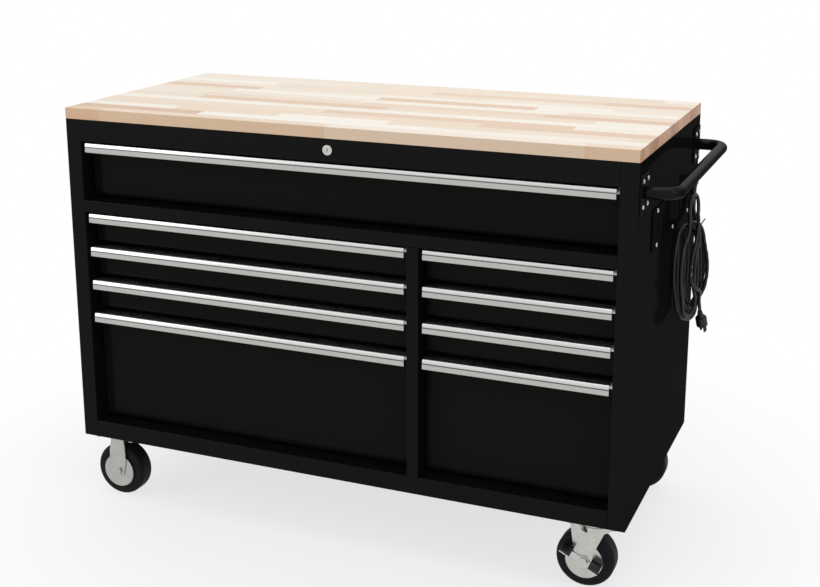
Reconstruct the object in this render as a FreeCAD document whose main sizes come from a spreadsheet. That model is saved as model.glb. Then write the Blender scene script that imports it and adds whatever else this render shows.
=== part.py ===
import FreeCAD, Part
import math
import os
import re
import Sketcher

# Mobile workbench: a wide steel drawer cabinet on four casters, with a wooden worktop, a push
# handle and a power strip on its right side. X is to the right, Y to the back, Z up, in mm.
# The origin is on the floor, under the middle of the box around the whole bench.

os.makedirs("parts", exist_ok=True)
doc = FreeCAD.newDocument("MobileWorkbench")
Vector = FreeCAD.Vector

# Driving sizes: name, value in mm, what it is
SIZES = [
    ("cab_width", 1321, "cabinet, outer width"),
    ("cab_depth", 622, "cabinet, outer depth"),
    ("cab_height", 769.5, "cabinet, height without casters and worktop"),
    ("sheet", 1.2, "steel sheet of the cabinet and drawers"),
    ("fold_radius", 2, "outer radius of the folds that show at the front"),
    ("top_thickness", 25, "worktop slab"),
    ("top_edge_round", 1.5, "rounding of the worktop's edges"),
    ("stile_width", 38, "front face of each side panel"),
    ("stile_depth", 100, "how far a side panel's front folds back inside"),
    ("rear_flange", 22, "inward fold at the back of a side panel"),
    ("top_flange", 25, "inward fold under the worktop"),
    ("rear_post_setback", 40, "rear slide post, distance from the cabinet's back"),
    ("rear_post_depth", 60, "rear slide post, front to back"),
    ("top_rail_height", 50.5, "rail above the top drawer"),
    ("top_rail_depth", 36, "its folds, front to back"),
    ("mid_rail_height", 27.5, "rail under the top drawer"),
    ("mid_rail_depth", 62, "its folds, front to back"),
    ("bottom_rail_height", 40, "rail under the lowest drawers"),
    ("bottom_rail_depth", 62, "its fold, front to back"),
    ("top_opening", 137.5, "height of the opening for the top drawer"),
    ("left_opening", 800, "width of the left column's opening"),
    ("divider_width", 27, "post and wall between the columns"),
    ("channel_width", 116, "base channels that carry the casters"),
    ("channel_height", 30, "their height"),
    ("channel_sheet", 2.5, "their steel"),
    ("front_gap", 3.8, "gap above and below each drawer front"),
    ("front_side_gap", 5, "gap beside each drawer front"),
    ("front_recess", 38, "drawer fronts, set back from the frame's face"),
    ("front_depth", 14, "depth of the folded drawer front"),
    ("front_roll", 10, "radius of its rolled lower edge"),
    ("shallow_front", 76.2, "height of a shallow drawer front"),
    ("tray_rise", 8, "tray's bottom above the front's lower edge"),
    ("tray_drop", 14, "tray's rim below the front's upper edge"),
    ("tray_depth", 530, "tray, front to back"),
    ("slide_space", 12.7, "room for a slide on each side of a tray"),
    ("slide_height", 45, "ball-bearing slide, height"),
    ("slide_rise", 32, "slide's centre above the front's lower edge"),
    ("slide_length", 500, "slide, closed length"),
    ("slide_start", 20, "slide's front end behind the drawer's face"),
    ("slide_sheet", 1.2, "slide, steel"),
    ("slide_gap", 0.4, "clearance between slide members"),
    ("slide_lip", 4, "lips that hold the balls"),
    ("pull_recess", 4, "pull's front, behind the frame's face"),
    ("pull_height", 22.5, "pull, top to bottom"),
    ("pull_wall", 2.6, "wall of the extruded pull"),
    ("pull_slope", 2.5, "how far its upper band leans back"),
    ("pull_band", 8.5, "height of that upper band"),
    ("pull_top_round", 4, "rounding above the band"),
    ("pull_groove", 2.6, "groove below the band"),
    ("pull_groove_depth", 1.5, "its depth"),
    ("pull_edge_round", 1, "rounding of the lower edge"),
    ("pull_end_gap", 7.5, "gap beside each end of a pull"),
    ("pull_flange", 18, "pull's flange on the drawer front"),
    ("handle_reach", 76.2, "push handle, overhang from the side"),
    ("handle_tube", 25.4, "its tube"),
    ("handle_inset", 40, "its legs, from the cabinet's front and back"),
    ("handle_drop", 65.5, "its tube's centre below the cabinet's top"),
    ("handle_bend", 34, "bend radius of the tube's centre line"),
    ("mount_width", 64, "handle's mounting plates, front to back"),
    ("mount_height", 80, "their height"),
    ("mount_sheet", 3, "their steel"),
    ("mount_screw_across", 39, "screw spacing, front to back"),
    ("mount_screw_up", 51, "screw spacing, vertical"),
    ("screw_radius", 2.5, "shank of the side screws"),
    ("screw_head_radius", 4.8, "pan head"),
    ("screw_head_height", 2.6, "pan head"),
    ("screw_length", 9, "shank under the head"),
    ("screw_clearance", 0.3, "screw holes, larger than the shank"),
    ("strip_length", 402, "power strip's face plate"),
    ("strip_height", 86, "its height"),
    ("strip_sheet", 2.5, "its thickness"),
    ("strip_shift", 19, "its middle, behind the cabinet's middle"),
    ("strip_drop", 166.3, "its middle, below the cabinet's top"),
    ("strip_box_depth", 28, "housing inside the cabinet"),
    ("strip_box_length", 352, "housing, front to back"),
    ("strip_box_height", 56, "housing, height"),
    ("strip_screw_across", 163, "spacing of its three screw columns"),
    ("strip_screw_up", 72.5, "spacing of its two screw rows"),
    ("strip_clearance", 1, "side panel's cut-out around the housing"),
    ("outlet_pitch", 54, "spacing of the outlets"),
    ("outlet_size", 32, "outlet insert, width and height"),
    ("relief_width", 20, "strain relief block"),
    ("relief_depth", 18, "its reach from the face plate"),
    ("relief_height", 20, "its height"),
    ("relief_from_end", 17, "its middle, from the strip's rear end"),
    ("relief_from_top", 13, "its middle, below the strip's top edge"),
    ("boot_length", 24, "tapered boot of the strain relief"),
    ("cord_diameter", 8, "power cord"),
    ("lock_drop", 24.3, "lock's centre below the cabinet's top"),
    ("lock_bezel_radius", 11, "lock's rim"),
    ("lock_bezel_height", 3, "rim, in front of the rail"),
    ("lock_barrel_radius", 9.3, "barrel"),
    ("lock_barrel_length", 24, "barrel behind the rim"),
    ("lock_plug_radius", 6, "turning plug"),
    ("lock_hole_gap", 0.2, "rail's hole around the barrel"),
    ("key_slot_width", 1.8, "key slot"),
    ("key_slot_height", 7, "key slot"),
    ("cam_length", 20, "cam, from the lock's axis"),
    ("cam_width", 10, "cam"),
    ("cam_sheet", 2, "cam"),
    ("running_gap", 0.05, "radial clearance of turning fits"),
    ("caster_height", 158, "floor to the cabinet's underside"),
    ("caster_from_side", 72.5, "caster's middle, from the cabinet's side"),
    ("caster_from_edge", 55, "caster's middle, from the front or back"),
    ("plate_length", 115, "caster's mounting plate"),
    ("plate_width", 95, "its width"),
    ("plate_sheet", 4, "its thickness"),
    ("plate_bolt_along", 90, "bolt spacing along the plate"),
    ("plate_bolt_across", 70, "bolt spacing across it"),
    ("bolt_radius", 4, "caster bolts"),
    ("bolt_head_radius", 6.5, "their heads, across flats"),
    ("bolt_head_height", 5, "their heads"),
    ("bolt_clearance", 0.4, "bolt holes, larger than the bolts"),
    ("wheel_radius", 63.5, "wheel"),
    ("tyre_width", 46, "tyre"),
    ("tyre_round", 11, "shoulders of the tyre"),
    ("core_radius", 41, "wheel's core, under the tyre"),
    ("core_width", 42, "its width"),
    ("hub_radius", 13, "hub"),
    ("hub_width", 52, "hub"),
    ("axle_radius", 6, "axle bolt"),
    ("axle_head_radius", 10.4, "its head and nut, to their corners"),
    ("fork_inside", 55.4, "gap between the fork's legs"),
    ("fork_sheet", 3, "fork's steel"),
    ("leg_eye", 17, "fork's leg, round end at the axle"),
    ("leg_waist", 44, "fork's leg, full width"),
    ("leg_low", 24, "where a leg reaches its full width, above the axle"),
    ("leg_high", 48, "where the rigid fork's leg narrows again, above the axle"),
    ("leg_top", 30, "rigid fork's leg, width at the top"),
    ("swivel_leg_top", 80, "swivel fork's leg, width at the top"),
    ("guard_radius", 40, "thread guards beside the wheel"),
    ("guard_sheet", 1.2, "their steel"),
    ("trail", 18, "swivel axis to axle"),
    ("race_radius", 41, "swivel race"),
    ("race_height", 6, "swivel race"),
    ("bowl_radius", 43, "swivel fork's crown, a bowl around the race's axis"),
    ("bowl_height", 15, "its height"),
    ("bowl_taper", 5, "how much narrower the bowl is below"),
    ("swivel_gap", 0.3, "gap above and below the fork's crown"),
    ("king_radius", 8, "king pin"),
    ("king_head_radius", 14, "king pin's head"),
    ("king_head_height", 4, "king pin's head"),
    ("brake_sheet", 2.5, "brake lever"),
    ("brake_slope", 26, "lever's slope when the brake is off, in degrees"),
    ("brake_boss_radius", 13, "lever's eye around the axle"),
    ("brake_arm", 13, "lever, height"),
    ("brake_reach", 54, "locking end, from the axle"),
    ("release_reach", 38, "releasing end, from the axle"),
    ("brake_tab", 24, "tabs at both ends, along the lever"),
    ("brake_tab_width", 27, "tabs, out from the lever"),
    ("brake_pad", 4.5, "rubber pad on each tab"),
    ("brake_pad_round", 1.5, "rounding of the pads"),
    ("brake_gap", 0.3, "lever's side clearance"),
    ("outlet_slot_depth", 12, "slots of the outlets"),
    ("plug_sleeve", 18, "plug's sleeve"),
    ("plug_grip_radius", 13, "plug's grip"),
    ("plug_grip", 24, "grip, length"),
    ("plug_round", 2.5, "rounding of the grip"),
    ("blade_pitch", 12.7, "spacing of the plug's blades"),
    ("blade_length", 17, "blades"),
    ("blade_width", 6.4, "blades"),
    ("blade_sheet", 1.6, "blades"),
    ("earth_radius", 2.4, "earth pin"),
    ("earth_offset", 8, "earth pin, beside the blades"),
    ("earth_length", 19, "earth pin"),
]
sheet = doc.addObject("Spreadsheet::Sheet", "Sizes")
for row, (name, value, meaning) in enumerate(SIZES, start=1):
    sheet.set("A%d" % row, str(value))
    sheet.setAlias("A%d" % row, name)
    sheet.set("B%d" % row, meaning)
doc.recompute()

# Places that follow from the sizes
PLACES = {
    "half_width": "cab_width / 2",
    "half_depth": "cab_depth / 2",
    "frame_shift": "-handle_reach / 2",
    "frame_shift_back": "lock_bezel_height / 2",
    "deck": "caster_height + cab_height",
    "opening_half": "half_width - stile_width",
    "top_rail_low": "deck - top_rail_height",
    "mid_rail_high": "top_rail_low - top_opening",
    "mid_rail_low": "mid_rail_high - mid_rail_height",
    "bottom_rail_high": "caster_height + bottom_rail_height",
    "divider_left": "left_opening - opening_half",
    "divider_right": "divider_left + divider_width",
    "right_opening": "opening_half - divider_right",
    "face_y": "front_recess - half_depth",
    "back_inside": "half_depth - 2 * sheet",
    "floor_panel": "caster_height + channel_height",
    "top_front": "top_opening - 2 * front_gap",
    "row_pitch": "shallow_front + front_gap",
    "deep_front": "mid_rail_low - bottom_rail_high - 3 * row_pitch - 2 * front_gap",
    "pull_reach": "front_recess - pull_recess",
    "handle_height": "deck - handle_drop",
    "handle_out": "handle_reach - handle_tube / 2",
    "handle_half_span": "half_depth - handle_inset",
    "strip_middle": "deck - strip_drop",
    "lock_height": "deck - lock_drop",
    "fork_half": "fork_inside / 2",
    "fork_outside": "fork_half + fork_sheet",
    "caster_x": "half_width - caster_from_side",
    "caster_y": "half_depth - caster_from_edge",
    "plate_low": "caster_height - plate_sheet",
    "race_low": "plate_low - race_height",
    "crown_top": "race_low - swivel_gap",
    "crown_low": "crown_top - fork_sheet",
}
NAMES = {name for name, value, meaning in SIZES}


def formula(text):
    """An expression over the sheet's cells, from one over the names of sizes and places."""
    def expand(found):
        word = found.group(0)
        if word in PLACES:
            return "(" + formula(PLACES[word]) + ")"
        if word in NAMES:
            return "Sizes." + word
        return word
    return re.sub(r"[a-z][a-z_]*[a-z]", expand, text)


def bind(thing, prop, text):
    thing.setExpression(prop, formula(text))


def place(thing, x, y, z):
    """Put a sub-part at x, y, z from the middle of the cabinet's footprint on the floor."""
    bind(thing, "Placement.Base.x", x + " + frame_shift")
    bind(thing, "Placement.Base.y", y + " + frame_shift_back")
    bind(thing, "Placement.Base.z", z)


def new_body(label):
    body = doc.addObject("PartDesign::Body", "Body")
    body.Label = label
    return body


def new_sketch(body, plane, lift):
    """A sketch on one of the body's own planes, lifted along the plane's normal."""
    origin_plane = [item for item in body.Origin.OriginFeatures if item.Role == plane + "_Plane"][0]
    drawn = body.newObject("Sketcher::SketchObject", "Sketch")
    drawn.AttachmentSupport = [(origin_plane, "")]
    drawn.MapMode = "FlatFace"
    bind(drawn, "AttachmentOffset.Base.z", lift)
    return drawn


def dimension(drawn, kind, parts, text, drawn_as=1.0):
    """One constraint whose value is bound to an expression; drawn_as is its value as drawn."""
    index = drawn.addConstraint(Sketcher.Constraint(kind, *parts, drawn_as))
    bind(drawn, "Constraints[%d]" % index, text)


def outline(body, plane, corners, lift="0"):
    """A closed outline with straight sides; each corner is a pair of expressions."""
    drawn = new_sketch(body, plane, lift)
    count = len(corners)
    turn = 2 * math.pi / count
    start = [Vector(math.cos(turn * i), math.sin(turn * i), 0) for i in range(count)]
    for i in range(count):
        drawn.addGeometry(Part.LineSegment(start[i], start[(i + 1) % count]))
    for i in range(count):
        drawn.addConstraint(Sketcher.Constraint("Coincident", i, 2, (i + 1) % count, 1))
    for i, (across, up) in enumerate(corners):
        dimension(drawn, "DistanceX", (-1, 1, i, 1), across)
        dimension(drawn, "DistanceY", (-1, 1, i, 1), up)
    return drawn


def circles(body, plane, centres, radius, lift="0"):
    """Circles of one radius; each centre is a pair of expressions."""
    drawn = new_sketch(body, plane, lift)
    for i, (across, up) in enumerate(centres):
        drawn.addGeometry(Part.Circle(Vector(3 * i, 0, 0), Vector(0, 0, 1), 1))
        dimension(drawn, "DistanceX", (-1, 1, i, 3), across)
        dimension(drawn, "DistanceY", (-1, 1, i, 3), up)
        dimension(drawn, "Radius", (i,), radius)
    return drawn


pockets = []


def pad(body, drawn, length, midplane=False, backwards=False):
    made = body.newObject("PartDesign::Pad", "Pad")
    made.Profile = drawn
    made.Midplane = midplane
    made.Reversed = backwards
    bind(made, "Length", length)
    return made


def pocket(body, drawn, length, midplane=False, backwards=False):
    made = body.newObject("PartDesign::Pocket", "Pocket")
    made.Profile = drawn
    made.Midplane = midplane
    made.Reversed = backwards
    bind(made, "Length", length)
    pockets.append((body.Label, made))
    return made


def corners_of(x, y, width, height):
    """The four corners of a rectangle, from its lowest corner."""
    right = "%s + %s" % (x, width)
    high = "%s + %s" % (y, height)
    return [(x, y), (right, y), (right, high), (x, high)]


def block(body, x, y, z, width, depth, height):
    """A straight block from its lowest corner."""
    return pad(body, outline(body, "XY", corners_of(x, y, width, depth), z), height)


def cut_block(body, x, y, z, width, depth, height):
    """A block-shaped cut from its lowest corner."""
    drawn = outline(body, "XY", corners_of(x, y, width, depth), "%s + %s" % (z, height))
    return pocket(body, drawn, height)


def edges_where(feature, test):
    """Names of a feature's edges whose middle passes the test."""
    feature.recompute(True)
    middles = [edge.CenterOfMass for edge in feature.Shape.Edges]
    return ["Edge%d" % (i + 1) for i, middle in enumerate(middles) if test(middle)]


def fillet(body, feature, test, radius):
    made = body.newObject("PartDesign::Fillet", "Fillet")
    made.Base = (feature, edges_where(feature, test))
    bind(made, "Radius", radius)
    return made


def round_folds(body, feature, inner, outer):
    """Bend a sheet's square folds: its inner edges first, then its outer edges."""
    bent = fillet(body, feature, inner, "fold_radius - sheet")
    return fillet(body, bent, outer, "fold_radius")


def group(label, pieces):
    """Separate solids under one label."""
    made = doc.addObject("Part::Compound", "Group")
    made.Label = label
    made.Links = pieces
    return made


def near(value, target):
    return abs(value - target) < 0.01


subparts = []

# Worktop: a solid slab of glued staves, flush with the cabinet
worktop = new_body("worktop")
slab = block(worktop, "-half_width", "-half_depth", "0", "cab_width", "cab_depth", "top_thickness")
fillet(worktop, slab, lambda middle: middle.z > sheet.top_edge_round, "top_edge_round")
place(worktop, "0", "0", "deck")
subparts.append(worktop)


# Side panels: each is one folded sheet, with the front stile, its inner fold and a rear post
def side_panel(label, inward):
    """The panel is drawn from its outer front corner; inward is 1 on the left and -1 on the right."""
    panel = new_body(label)
    folded = [("0", "0"), ("stile_width", "0"), ("stile_width", "stile_depth"),
              ("stile_width - sheet", "stile_depth"), ("stile_width - sheet", "sheet"),
              ("sheet", "sheet"), ("sheet", "cab_depth - sheet"),
              ("rear_flange", "cab_depth - sheet"), ("rear_flange", "cab_depth"), ("0", "cab_depth")]
    post_back = "cab_depth - rear_post_setback"
    post_front = post_back + " - rear_post_depth"
    post = [("0", post_front), ("stile_width", post_front), ("stile_width", post_back),
            ("0", post_back), ("0", post_back + " - sheet"),
            ("stile_width - sheet", post_back + " - sheet"),
            ("stile_width - sheet", post_front + " + sheet"), ("0", post_front + " + sheet")]
    corners = [("%d * (%s)" % (inward, across), up) for across, up in folded]
    skin = pad(panel, outline(panel, "XY", corners), "cab_height")
    thick, stile = sheet.sheet, sheet.stile_width
    round_folds(panel, skin, lambda middle: near(middle.y, thick) and not near(abs(middle.x), stile)
                and near(middle.z, sheet.cab_height / 2),
                lambda middle: near(middle.y, 0) and near(middle.z, sheet.cab_height / 2))
    corners = [("%d * (%s)" % (inward, across), up) for across, up in post]
    pad(panel, outline(panel, "XY", corners), "cab_height")
    flange = [("sheet / 2", "sheet / 2"), ("top_flange", "sheet / 2"),
              ("top_flange", "cab_depth - 2 * sheet"), ("sheet / 2", "cab_depth - 2 * sheet")]
    corners = [("%d * (%s)" % (inward, across), up) for across, up in flange]
    pad(panel, outline(panel, "XY", corners, "cab_height - sheet"), "sheet")
    relief = [("sheet", "sheet"), ("stile_width + 1", "sheet"),
              ("stile_width + 1", "cab_depth - 2 * sheet"), ("sheet", "cab_depth - 2 * sheet")]
    corners = [("%d * (%s)" % (inward, across), up) for across, up in relief]
    pocket(panel, outline(panel, "XY", corners, "channel_height + sheet"), "channel_height + sheet")
    place(panel, "%d * half_width" % -inward, "-half_depth", "caster_height")
    subparts.append(panel)
    return panel


side_panel("left_side_panel", 1)
right_side_panel = side_panel("right_side_panel", -1)

# Places of the side screws, as front-to-back and height pairs from the cabinet's lower middle
handle_screws = []
for end in (-1, 1):
    for across in (-1, 1):
        for up in (-1, 1):
            handle_screws.append(("%d * handle_half_span + %d * mount_screw_across / 2" % (end, across),
                                  "cab_height - handle_drop + %d * mount_screw_up / 2" % up))
strip_screws = []
for column in (-1, 0, 1):
    for up in (-1, 1):
        strip_screws.append(("strip_shift + %d * strip_screw_across" % column,
                             "cab_height - strip_drop + %d * strip_screw_up / 2" % up))
holes = [("%s + half_depth" % along, up) for along, up in handle_screws + strip_screws]
pocket(right_side_panel, circles(right_side_panel, "YZ", holes, "screw_radius + screw_clearance"),
       "4 * sheet", midplane=True)
window = corners_of("half_depth + strip_shift - strip_box_length / 2 - strip_clearance",
                    "cab_height - strip_drop - strip_box_height / 2 - strip_clearance",
                    "strip_box_length + 2 * strip_clearance", "strip_box_height + 2 * strip_clearance")
pocket(right_side_panel, outline(right_side_panel, "YZ", window), "4 * sheet", midplane=True)

# Back and floor of the cabinet
back_panel = new_body("back_panel")
block(back_panel, "sheet - half_width", "back_inside", "0",
      "cab_width - 2 * sheet", "sheet", "cab_height")
place(back_panel, "0", "0", "caster_height")
subparts.append(back_panel)

bottom_panel = new_body("bottom_panel")
block(bottom_panel, "-opening_half", "sheet - half_depth", "0",
      "2 * opening_half", "cab_depth - 3 * sheet", "sheet")
place(bottom_panel, "0", "0", "floor_panel")
subparts.append(bottom_panel)


# Front rails: sheet folded back along the top and, on the upper two, along the bottom too
def rail(label, height, depth, low, lower_fold):
    made = new_body(label)
    section = [("0", height), (depth, height), (depth, height + " - sheet"),
               ("sheet", height + " - sheet")]
    if lower_fold:
        section += [("sheet", "sheet"), (depth, "sheet"), (depth, "0"), ("0", "0")]
    else:
        section += [("sheet", "0"), ("0", "0")]
    tall = getattr(sheet, height)

    def is_fold(level, inset):
        return near(level, tall - inset) or (lower_fold and near(level, inset))

    folded = pad(made, outline(made, "YZ", section), "2 * opening_half", midplane=True)
    round_folds(made, folded, lambda middle: near(middle.x, 0) and near(middle.y, sheet.sheet)
                and is_fold(middle.z, sheet.sheet),
                lambda middle: near(middle.x, 0) and near(middle.y, 0) and is_fold(middle.z, 0))
    place(made, "0", "-half_depth", low)
    subparts.append(made)
    return made


top_rail = rail("top_rail", "top_rail_height", "top_rail_depth", "top_rail_low", True)
pocket(top_rail, circles(top_rail, "XZ", [("0", "top_rail_height - lock_drop")],
                         "lock_barrel_radius + lock_hole_gap"), "4 * sheet", midplane=True)
rail("mid_rail", "mid_rail_height", "mid_rail_depth", "mid_rail_high - mid_rail_height", True)
rail("bottom_rail", "bottom_rail_height", "bottom_rail_depth", "caster_height", False)

# Divider: a hollow wall from the post at the front to the back panel
divider = new_body("centre_divider")
divider_tall = "mid_rail_low - bottom_rail_high"
divider_deep = "cab_depth - 2 * sheet"
post = block(divider, "0", "0", "0", "divider_width", divider_deep, divider_tall)
fillet(divider, post, lambda middle: near(middle.y, 0) and middle.z > 1 and not near(
    middle.x, sheet.divider_width / 2), "fold_radius")
foot_drop = "bottom_rail_high - floor_panel - sheet"
block(divider, "0", "bottom_rail_depth", "-(%s)" % foot_drop,
      "divider_width", divider_deep + " - bottom_rail_depth", foot_drop)
cut_block(divider, "sheet", "sheet", "-(%s) - 1" % foot_drop, "divider_width - 2 * sheet",
          divider_deep + " - 2 * sheet", "%s + %s + 2" % (divider_tall, foot_drop))
place(divider, "divider_left", "-half_depth", "bottom_rail_high")
subparts.append(divider)

# Base channels: one under each end, open upwards, bolted to the casters
channels = new_body("base_channels")
for end in (-1, 1):
    middle = "%d * caster_x" % end
    half = "channel_width / 2"
    wall = "channel_sheet"
    section = [(middle + " - " + half, "0"), (middle + " + " + half, "0"),
               (middle + " + " + half, "channel_height"),
               ("%s + %s - %s" % (middle, half, wall), "channel_height"),
               ("%s + %s - %s" % (middle, half, wall), wall),
               ("%s - %s + %s" % (middle, half, wall), wall),
               ("%s - %s + %s" % (middle, half, wall), "channel_height"),
               (middle + " - " + half, "channel_height")]
    pad(channels, outline(channels, "XZ", section, "half_depth - sheet"),
        "cab_depth - 3 * sheet", backwards=True)
bolt_places = []
for end in (-1, 1):
    for edge in (-1, 1):
        for along in (-1, 1):
            for across in (-1, 1):
                bolt_places.append(("%d * caster_x + %d * plate_bolt_along / 2" % (end, along),
                                    "%d * caster_y + %d * plate_bolt_across / 2" % (edge, across)))
pocket(channels, circles(channels, "XY", bolt_places, "bolt_radius + bolt_clearance"),
       "4 * channel_sheet", midplane=True)
place(channels, "0", "0", "caster_height")
subparts.append(channels)


# Drawers. Each is drawn from the lower middle of its front's face.
def drawer_tray(width, height):
    """The folded front with its rolled lower edge, and the tray welded behind it."""
    tray = new_body("tray")
    front_width = "%s - 2 * front_side_gap" % width
    pad(tray, outline(tray, "YZ", corners_of("0", "0", "front_depth", height)),
        front_width, midplane=True)
    hollow = corners_of("sheet", "sheet", "front_depth", "%s - 2 * sheet" % height)
    inside = pocket(tray, outline(tray, "YZ", hollow), front_width + " - 2 * sheet", midplane=True)
    bent = fillet(tray, inside, lambda middle: near(middle.y, sheet.sheet) and near(middle.z, sheet.sheet)
                  and near(middle.x, 0), "front_roll - sheet")
    fillet(tray, bent, lambda middle: near(middle.y, 0) and near(middle.z, 0), "front_roll")
    block(tray, "-(%s) / 2" % front_width, "front_depth", "0", front_width, "sheet", height)
    tray_width = "%s - 2 * slide_space" % width
    tray_height = "%s - tray_rise - tray_drop" % height
    block(tray, "-(%s) / 2" % tray_width, "front_depth", "tray_rise",
          tray_width, "tray_depth", tray_height)
    cut_block(tray, "sheet - (%s) / 2" % tray_width, "front_depth + sheet", "tray_rise + sheet",
              tray_width + " - 2 * sheet", "tray_depth - 2 * sheet", height)
    return tray


def channel_section(near_edge, lip_edge, web_sheet, half):
    """Corners of a channel: its web stands at near_edge and its lips reach to lip_edge. Distances
    are measured inwards from the cabinet wall that the slide is fixed to."""
    inner = "%s - slide_sheet" % half
    return [(near_edge, "-(%s)" % half), (lip_edge, "-(%s)" % half), (lip_edge, "-(%s)" % inner),
            (web_sheet, "-(%s)" % inner), (web_sheet, inner), (lip_edge, inner),
            (lip_edge, half), (near_edge, half)]


# The three members of a slide, nested between the cabinet wall and the tray's wall
outer_half = "slide_height / 2"
middle_half = "slide_height / 2 - slide_sheet - slide_gap"
inner_half = "slide_height / 2 - 2 * slide_sheet - 2 * slide_gap"
CABINET_MEMBER = channel_section("0", "slide_sheet + slide_lip", "slide_sheet", outer_half)
DRAWER_MEMBER = channel_section("slide_space", "slide_space - slide_sheet - slide_lip",
                                "slide_space - slide_sheet", inner_half)
middle_low = "(slide_space - slide_sheet) / 2"
middle_high = "(slide_space + slide_sheet) / 2"
lip_low = "slide_sheet + slide_gap"
lip_high = "slide_space - slide_sheet - slide_gap"
thin_half = "%s - slide_sheet" % middle_half
MIDDLE_MEMBER = [(lip_low, "-(%s)" % middle_half), (lip_high, "-(%s)" % middle_half),
                 (lip_high, "-(%s)" % thin_half), (middle_high, "-(%s)" % thin_half),
                 (middle_high, thin_half), (lip_high, thin_half), (lip_high, middle_half),
                 (lip_low, middle_half), (lip_low, thin_half), (middle_low, thin_half),
                 (middle_low, "-(%s)" % thin_half), (lip_low, "-(%s)" % thin_half)]


def slide_pair(body, member, width, centre="0", height="slide_rise", front="slide_start"):
    """The same member at both sides of an opening of the given width."""
    for side in (-1, 1):
        corners = [("%s + %d * ((%s) / 2 - (%s))" % (centre, side, width, inwards),
                    "%s + %s" % (height, up)) for inwards, up in member]
        pad(body, outline(body, "XZ", corners, "-(%s)" % front), "slide_length", backwards=True)


def drawer_pull(label, width):
    """An extruded pull, drawn from the top edge of the drawer's face: a flange on the front, a web
    along its top and a lip in front, whose upper band leans back above a groove."""
    pull = new_body(label)
    section = [
        ("0", "0"), ("pull_slope - pull_reach", "0"), ("-pull_reach", "-pull_band"),
        ("pull_groove_depth - pull_reach", "-pull_band"),
        ("pull_groove_depth - pull_reach", "-pull_band - pull_groove"),
        ("-pull_reach", "-pull_band - pull_groove"), ("-pull_reach", "-pull_height"),
        ("pull_wall - pull_reach", "-pull_height"), ("pull_wall - pull_reach", "-pull_band - pull_wall"),
        ("pull_slope + pull_wall - pull_reach", "-pull_wall"), ("-pull_wall", "-pull_wall"),
        ("-pull_wall", "-pull_flange"), ("0", "-pull_flange")]
    bar = pad(pull, outline(pull, "YZ", section), "%s - 2 * pull_end_gap" % width, midplane=True)
    front = sheet.pull_recess - sheet.front_recess
    rounded = fillet(pull, bar, lambda middle: near(middle.x, 0) and near(middle.z, 0)
                     and near(middle.y, front + sheet.pull_slope), "pull_top_round")
    fillet(pull, rounded, lambda middle: near(middle.x, 0) and near(middle.z, -sheet.pull_height)
           and near(middle.y, front), "pull_edge_round")
    return pull


left_centre = "(divider_left - opening_half) / 2"
right_centre = "(divider_right + opening_half) / 2"
drawers = [("top_drawer", "0", "(2 * opening_half)", "mid_rail_high + front_gap", "(top_front)")]
for column, centre, width in (("left", left_centre, "left_opening"),
                              ("right", right_centre, "(right_opening)")):
    for row, level in enumerate(("upper", "middle", "lower"), start=1):
        drawers.append(("%s_%s_drawer" % (column, level), centre, width,
                        "mid_rail_low - %d * row_pitch" % row, "shallow_front"))
    drawers.append(("%s_deep_drawer" % column, centre, width,
                    "bottom_rail_high + front_gap", "(deep_front)"))

cabinet_slides = new_body("cabinet_slides")
for label, centre, width, low, height in drawers:
    tray = drawer_tray(width, height)
    runners = new_body("runners")
    slide_pair(runners, DRAWER_MEMBER, width)
    drawer = group(label, [tray, runners])
    between = new_body(label + "_slides")
    slide_pair(between, MIDDLE_MEMBER, width)
    pull = drawer_pull(label + "_pull", width)
    for piece, level in ((drawer, low), (pull, low + " + " + height), (between, low)):
        place(piece, centre, "face_y", level)
        subparts.append(piece)
    slide_pair(cabinet_slides, CABINET_MEMBER, width, centre, "%s + slide_rise" % low,
               "face_y + slide_start")
place(cabinet_slides, "0", "0", "0")
subparts.append(cabinet_slides)

# Push handle: one bent tube between two screwed plates. It is drawn from the side panel's face.
handle = new_body("push_handle")
path = new_sketch(handle, "XY", "0")
reach = sheet.handle_reach - sheet.handle_tube / 2
span = sheet.cab_depth / 2 - sheet.handle_inset
bend = sheet.handle_bend
diagonal = bend * math.sqrt(0.5)
bends = [Vector(reach - bend, bend - span, 0), Vector(reach - bend, span - bend, 0)]
path.addGeometry(Part.LineSegment(Vector(0, -span, 0), Vector(reach - bend, -span, 0)))
path.addGeometry(Part.Arc(Vector(reach - bend, -span, 0), bends[0] + Vector(diagonal, -diagonal, 0),
                          Vector(reach, bend - span, 0)))
path.addGeometry(Part.LineSegment(Vector(reach, bend - span, 0), Vector(reach, span - bend, 0)))
path.addGeometry(Part.Arc(Vector(reach, span - bend, 0), bends[1] + Vector(diagonal, diagonal, 0),
                          Vector(reach - bend, span, 0)))
path.addGeometry(Part.LineSegment(Vector(reach - bend, span, 0), Vector(0, span, 0)))
for joint in range(4):
    ends = [path.getPoint(joint, 1), path.getPoint(joint, 2)]
    following = [path.getPoint(joint + 1, 1), path.getPoint(joint + 1, 2)]
    pairs = [(a, b) for a in (0, 1) for b in (0, 1) if ends[a].distanceToPoint(following[b]) < 0.001]
    path.addConstraint(Sketcher.Constraint("Tangent", joint, pairs[0][0] + 1, joint + 1, pairs[0][1] + 1))
path.addConstraint(Sketcher.Constraint("Horizontal", 0))
path.addConstraint(Sketcher.Constraint("Vertical", 2))
path.addConstraint(Sketcher.Constraint("Horizontal", 4))
path.addConstraint(Sketcher.Constraint("PointOnObject", 0, 1, -2))
path.addConstraint(Sketcher.Constraint("PointOnObject", 4, 2, -2))
dimension(path, "DistanceY", (0, 1, -1, 1), "handle_half_span", span)
dimension(path, "DistanceY", (-1, 1, 4, 2), "handle_half_span", span)
dimension(path, "DistanceX", (-1, 1, 2, 1), "handle_out", reach)
dimension(path, "Radius", (1,), "handle_bend", bend)
dimension(path, "Radius", (3,), "handle_bend", bend)
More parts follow.
